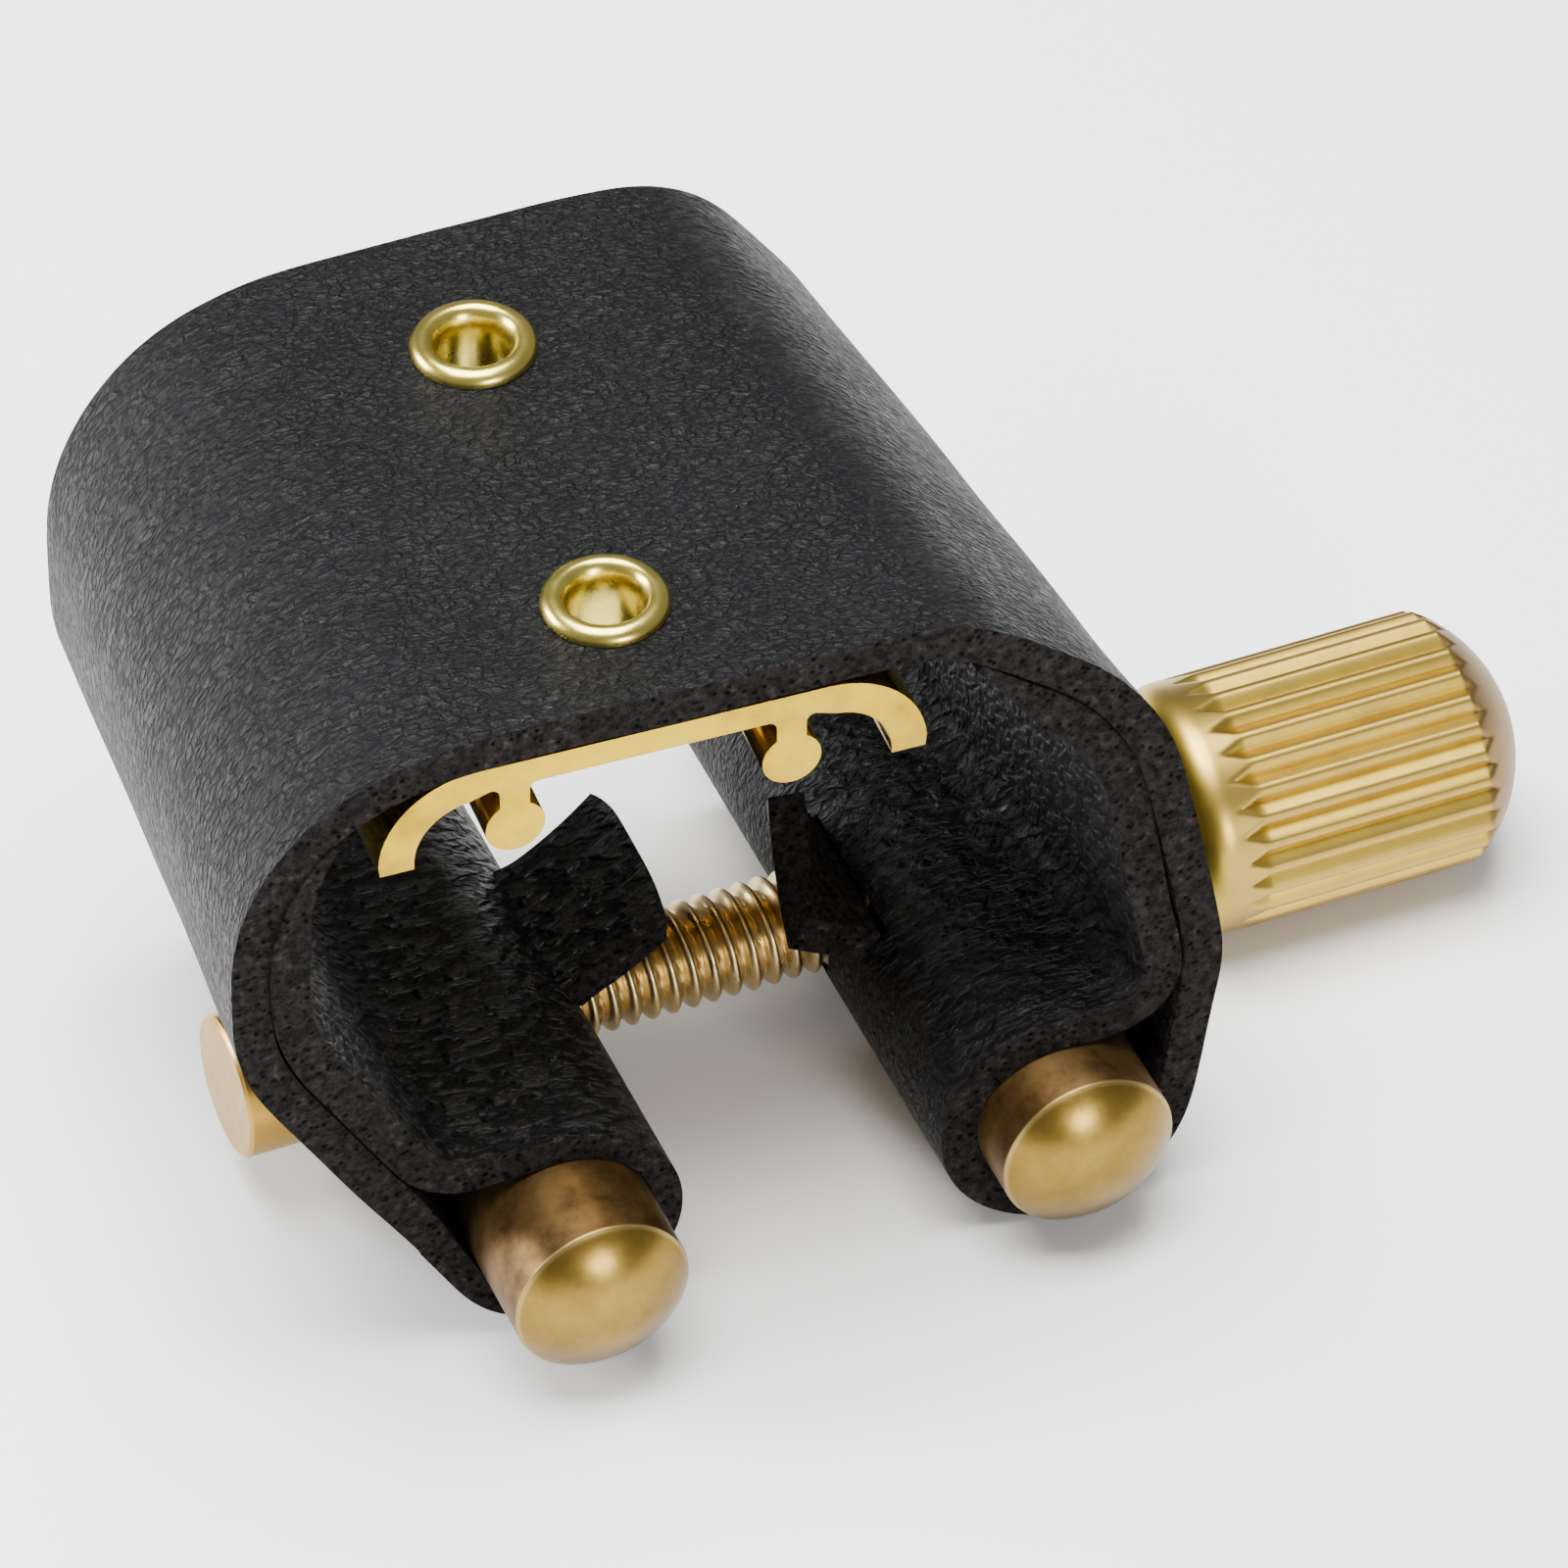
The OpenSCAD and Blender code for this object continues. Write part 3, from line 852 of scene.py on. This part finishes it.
EYELETS = [
    np.array([*centre_of(low, high)[:2], 0.0])
    for low, high in ((front_low, front_high), (rear_low, rear_high))
]


def ride(obj, body, node):
    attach(obj, body)
    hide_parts(node)


def dome(start, height, radius, steps=16):
    """Profile of a spherical cap from the rim at radius to its top on the axis."""
    sphere = (radius**2 + height**2) / (2 * height)
    opening = math.asin(radius / sphere)
    return [
        (start + height - sphere * (1 - math.cos(a)), sphere * math.sin(a))
        for a in np.linspace(opening, 0, steps + 1)
    ]


def build_rods(brass):
    """Two rods, one bored for the nut and the other for the screw."""
    for side in (LEFT, RIGHT):
        rim = ROD_END - DOME_SAG
        cap = dome(rim, DOME_SAG, ROD_R - 0.07)
        half = [(0.0, ROD_R), (rim - 0.1, ROD_R), (rim - 0.04, ROD_R - 0.02), *cap]
        profile = [(-y, r) for y, r in half[:0:-1]] + half
        rod = lathe("rod_" + side.name + "_look", profile, (side.rod_x, 0, 0), "Y", [brass])
        if side is LEFT:
            carve(rod, [bar(NUT_R + 0.02, -20, 0)])
        else:
            carve(rod, [bar(SCREW_R + 0.06, 0, 20)])
        sharpen(rod, 30)
        ride(rod, side.arm, "rod_" + side.name)


def build_nut(brass):
    """A blind barrel whose closed end shows outside the left wall."""
    wall = SCREW_R + 0.06
    profile = [
        (NUT_FACE, 0),
        (NUT_FACE, NUT_R - 0.1),
        (NUT_FACE + 0.1, NUT_R),
        (NUT_MOUTH, NUT_R),
        (NUT_MOUTH, wall),
        (NUT_FACE + 0.7, wall),
        (NUT_FACE + 0.7, 0),
    ]
    nut = lathe("nut_look", profile, (0, 0, 0), "X", [brass])
    sharpen(nut, 30)
    ride(nut, "arm_left", "barrel_nut")


THREAD_DEPTH = 0.32
THREAD_END = 5.4


def thread_radius(x, angle, radius):
    """Radius of a right-hand thread with rounded crests and roots."""
    if x > THREAD_END or radius < SCREW_R:
        return radius
    phase = ((x - SCREW_TIP) / PITCH - angle / TAU) % 1.0
    height = 0.5 - 0.5 * math.cos(TAU * phase)
    return SCREW_R - THREAD_DEPTH * (1 - height**0.6)


def build_screw(brass):
    along = np.arange(SCREW_TIP, THREAD_END, PITCH / 14)
    profile = [(SCREW_TIP, 0), (SCREW_TIP, SCREW_R - 0.3)]
    profile += [(x, SCREW_R) for x in along[2:]]
    profile += [(THREAD_END + 0.3, SCREW_R), (NECK_X + 5, SCREW_R), (NECK_X + 5, 0)]
    screw = lathe("screw_look", profile, (0, 0, 0), "X", [brass], 64, thread_radius)
    sharpen(screw, 60)
    ride(screw, "screw", "screw_shank")


KNURLS = 28
KNURL_DEPTH = 0.29
KNURL_START = 16.2


def knurled(x, angle, radius):
    """The knob's surface: ridges between V grooves, which run out in points and on the dome."""
    ramp = min(1.0, (x - KNURL_START) / 0.75)
    off = abs(angle / TAU * KNURLS % 1.0 - 0.5) * 2
    groove = max(0.0, (off - 0.22) / 0.78)
    return min(radius, KNOB_R - KNURL_DEPTH * max(0.0, groove - (1 - ramp)))


NECK_R = 2.4
SHOULDER_START, SHOULDER_LEN, SHOULDER_DROP = 15.0, 0.9, 0.8


def build_knob(brass):
    """Turned from one bar: a neck, a rounded shoulder, a knurled barrel and a domed end."""
    rim = KNOB_TIP - KNOB_SAG
    cap = dome(rim, KNOB_SAG, KNOB_R, 24)
    shoulder = [
        (
            SHOULDER_START + SHOULDER_LEN * (1 - math.cos(a)),
            KNOB_R - SHOULDER_DROP * (1 - math.sin(a)),
        )
        for a in np.linspace(0, math.pi / 2, 8)
    ]
    barrel = [(x, KNOB_R) for x in np.linspace(SHOULDER_START + 1.0, rim - 0.02, 60)]
    profile = [
        (NECK_X, 0),
        (NECK_X, NECK_R - 0.1),
        (NECK_X + 0.1, NECK_R),
        (SHOULDER_START, NECK_R),
        *shoulder,
        *barrel,
        *cap,
    ]
    knob = lathe("knob_look", profile, (0, 0, 0), "X", [brass], KNURLS * 12, knurled)
    sharpen(knob, 50)
    ride(knob, "screw", "thumb_knob")


PLATE_YAW = math.radians(3)
PLATE_LEN = 19.4
PLATE_T = 0.85


def plate_outline():
    """Section of the reed plate round its edge: curls at the sides and two ribs with beads."""
    bend, outer, inner = 5.15, 2.85, 1.8
    rib, half_rib, bead, bead_z = 4.02, 0.44, 0.87, -2.35
    meet = math.degrees(math.asin(half_rib / bead))
    fillet = 0.25
    right = [(bend * k / 6, 0.0) for k in range(7)]
    right += arc((bend, -outer), outer, 90, 4, 14)[1:]
    right += [(bend + outer - 0.05, -outer - 0.2), (bend + inner, -outer - 0.2)]
    right += arc((bend, -outer), inner, 2, 84, 10)
    right += [(rib + half_rib + fillet, -PLATE_T)]
    right += arc((rib + half_rib + fillet, -PLATE_T - fillet), fillet, 90, 180, 4)
    right += arc((rib, bead_z), bead, 90 - meet, -270 + meet, 24)
    right += arc((rib - half_rib - fillet, -PLATE_T - fillet), fillet, 0, 90, 4)
    left = [(-x, z) for x, z in reversed(right[1:])]
    return right + left


def build_plate(gold, cut_gold):
    """The section drawn out along Y, turned a little in the band and holed for the eyelets."""
    outline = plate_outline()
    centre = centre_of(plate_low, plate_high)
    top = plate_high[2] - ORIGIN[2]
    steps = 8
    points, faces, kinds = [], [], []
    count = len(outline)
    for k in range(steps + 1):
        y = PLATE_LEN * (k / steps - 0.5)
        for x, z in outline:
            points.append(
                (
                    centre[0] + x * math.cos(PLATE_YAW) + y * math.sin(PLATE_YAW),
                    centre[1] - x * math.sin(PLATE_YAW) + y * math.cos(PLATE_YAW),
                    top + z,
                )
            )
    for k in range(steps):
        for i in range(count):
            j = (i + 1) % count
            a, b = k * count, (k + 1) * count
            faces.append((a + i, a + j, b + j, b + i))
            kinds.append(0)
    faces += [tuple(range(count))[::-1], tuple(range(steps * count, (steps + 1) * count))]
    kinds += [1, 1]
    plate = new_object("plate_look", points, faces, [gold, cut_gold], kinds)
    with_mesh(plate, lambda bm: bmesh.ops.recalc_face_normals(bm, faces=bm.faces))
    carve(plate, [post(1.24, c) for c in EYELETS])
    bevel(plate, 0.05, 60)
    apply_modifiers(plate)
    sharpen(plate, 35)
    ride(plate, "root", "reed_plate")


def build_eyelets(gold):
    """Flared tubes: a rolled rim on the leather and a turned-over foot under the plate."""
    bore, crest_r, crest_h = 1.0, 1.42, 0.41
    top = CROWN_TOP + 0.03
    bottom = plate_high[2] - ORIGIN[2] - PLATE_T - 0.03
    quarter = np.linspace(0, math.pi / 2, 12)
    funnel = [
        (top - 0.45 + (crest_h + 0.45) * math.sin(a), crest_r - (crest_r - bore) * math.cos(a))
        for a in quarter
    ]
    roll = [(top + crest_h * math.cos(a), crest_r + crest_h * math.sin(a)) for a in quarter[1:]]
    crest = funnel + roll
    foot = [
        (bottom - 0.3 * math.sin(a), bore + 0.3 - 0.3 * math.cos(a))
        for a in np.linspace(math.pi, 0, 14)
    ]
    profile = [*crest, (top, 1.2), (bottom, 1.2), *foot, crest[0]]
    for name, centre in zip(("eyelet_front", "eyelet_rear"), EYELETS):
        eyelet = lathe(name + "_look", profile, centre, "Z", [gold], 72)
        sharpen(eyelet, 50)
        ride(eyelet, "root", name)


# ---- Stage ----


def soft_light(name, place, aim, size, power):
    """A rectangular lamp at place that faces aim, in the screw frame."""
    light = bpy.data.lights.new(name, "AREA")
    light.shape = "RECTANGLE"
    light.size, light.size_y = size[0] * MM, size[1] * MM
    light.energy = power
    obj = bpy.data.objects.new(name, light)
    bpy.context.scene.collection.objects.link(obj)
    obj.location = (np.array(place, float) + ORIGIN) * MM
    aim = Vector((np.array(aim, float) + ORIGIN) * MM)
    obj.rotation_euler = (aim - obj.location).to_track_quat("-Z", "Y").to_euler()


def build_stage():
    size = 2.0
    floor = bpy.data.meshes.new("floor")
    floor.from_pydata(
        [(-size, -size, 0), (size, -size, 0), (size, size, 0), (-size, size, 0)],
        [],
        [(0, 1, 2, 3)],
    )
    floor.materials.append(plain("pale_floor", (0.92, 0.92, 0.92), 0.6))
    obj = bpy.data.objects.new("floor", floor)
    bpy.context.scene.collection.objects.link(obj)
    world = bpy.data.worlds.new("studio")
    bpy.context.scene.world = world
    world.use_nodes = True
    back = world.node_tree.nodes["Background"]
    back.inputs["Color"].default_value = (1.0, 1.0, 1.0, 1)
    back.inputs["Strength"].default_value = 0.35
    soft_light("top", (-25, 10, 300), (0, 0, 8), (220, 220), 3.4)
    soft_light("front", (25, -260, 80), (0, 0, 8), (80, 60), 0.45)
    soft_light("rim", (-220, 130, 95), (-12, 0, 10), (130, 110), 1.35)


CAMERA_BACK = 335
AIM_RIGHT, AIM_UP = 2.857, 4.9


def build_camera():
    """The photo's view: the camera looks past the screw's axis, a little to the right and up."""
    azimuth, elevation = math.radians(-22), math.radians(44)
    back = Vector(
        (
            math.sin(azimuth) * math.cos(elevation),
            -math.cos(azimuth) * math.cos(elevation),
            math.sin(elevation),
        )
    )
    camera = bpy.data.cameras.new("camera")
    camera.lens = 263.8
    camera.sensor_width = 36
    camera.clip_start, camera.clip_end = 0.01, 10
    obj = bpy.data.objects.new("camera", camera)
    bpy.context.scene.collection.objects.link(obj)
    turn = (-back).to_track_quat("-Z", "Y")
    right, up = turn @ Vector((1, 0, 0)), turn @ Vector((0, 1, 0))
    obj.location = (Vector(ORIGIN) + back * CAMERA_BACK) * MM
    aim = right * AIM_RIGHT + up * AIM_UP
    obj.rotation_euler = (aim - back * CAMERA_BACK).to_track_quat("-Z", "Y").to_euler()
    bpy.context.scene.camera = obj


def build_all():
    screw_brass = metal("screw_brass", (0.58, 0.44, 0.21), (0.32, 0.2, 0.09), 0.3, 0.5)
    nut_brass = metal("nut_brass", (0.40, 0.235, 0.045), (0.32, 0.18, 0.035), 0.34)
    gold = metal("gold_plate", (0.72, 0.48, 0.06), (0.45, 0.26, 0.025), 0.16, 0.3)
    cut_gold = metal("cut_gold", (0.52, 0.34, 0.014), (0.26, 0.15, 0.008), 0.3, 0.9)
    eyelet_gold = metal("eyelet_gold", (0.62, 0.51, 0.12), (0.42, 0.32, 0.06), 0.26, 0.5)
    build_band(grain_leather(), cut_leather())
    build_rods(rod_brass("rod_brass"))
    build_nut(nut_brass)
    build_screw(screw_brass)
    build_knob(knob_brass("knob_brass"))
    build_plate(gold, cut_gold)
    build_eyelets(eyelet_gold)
    build_stage()
    build_camera()


build_all()
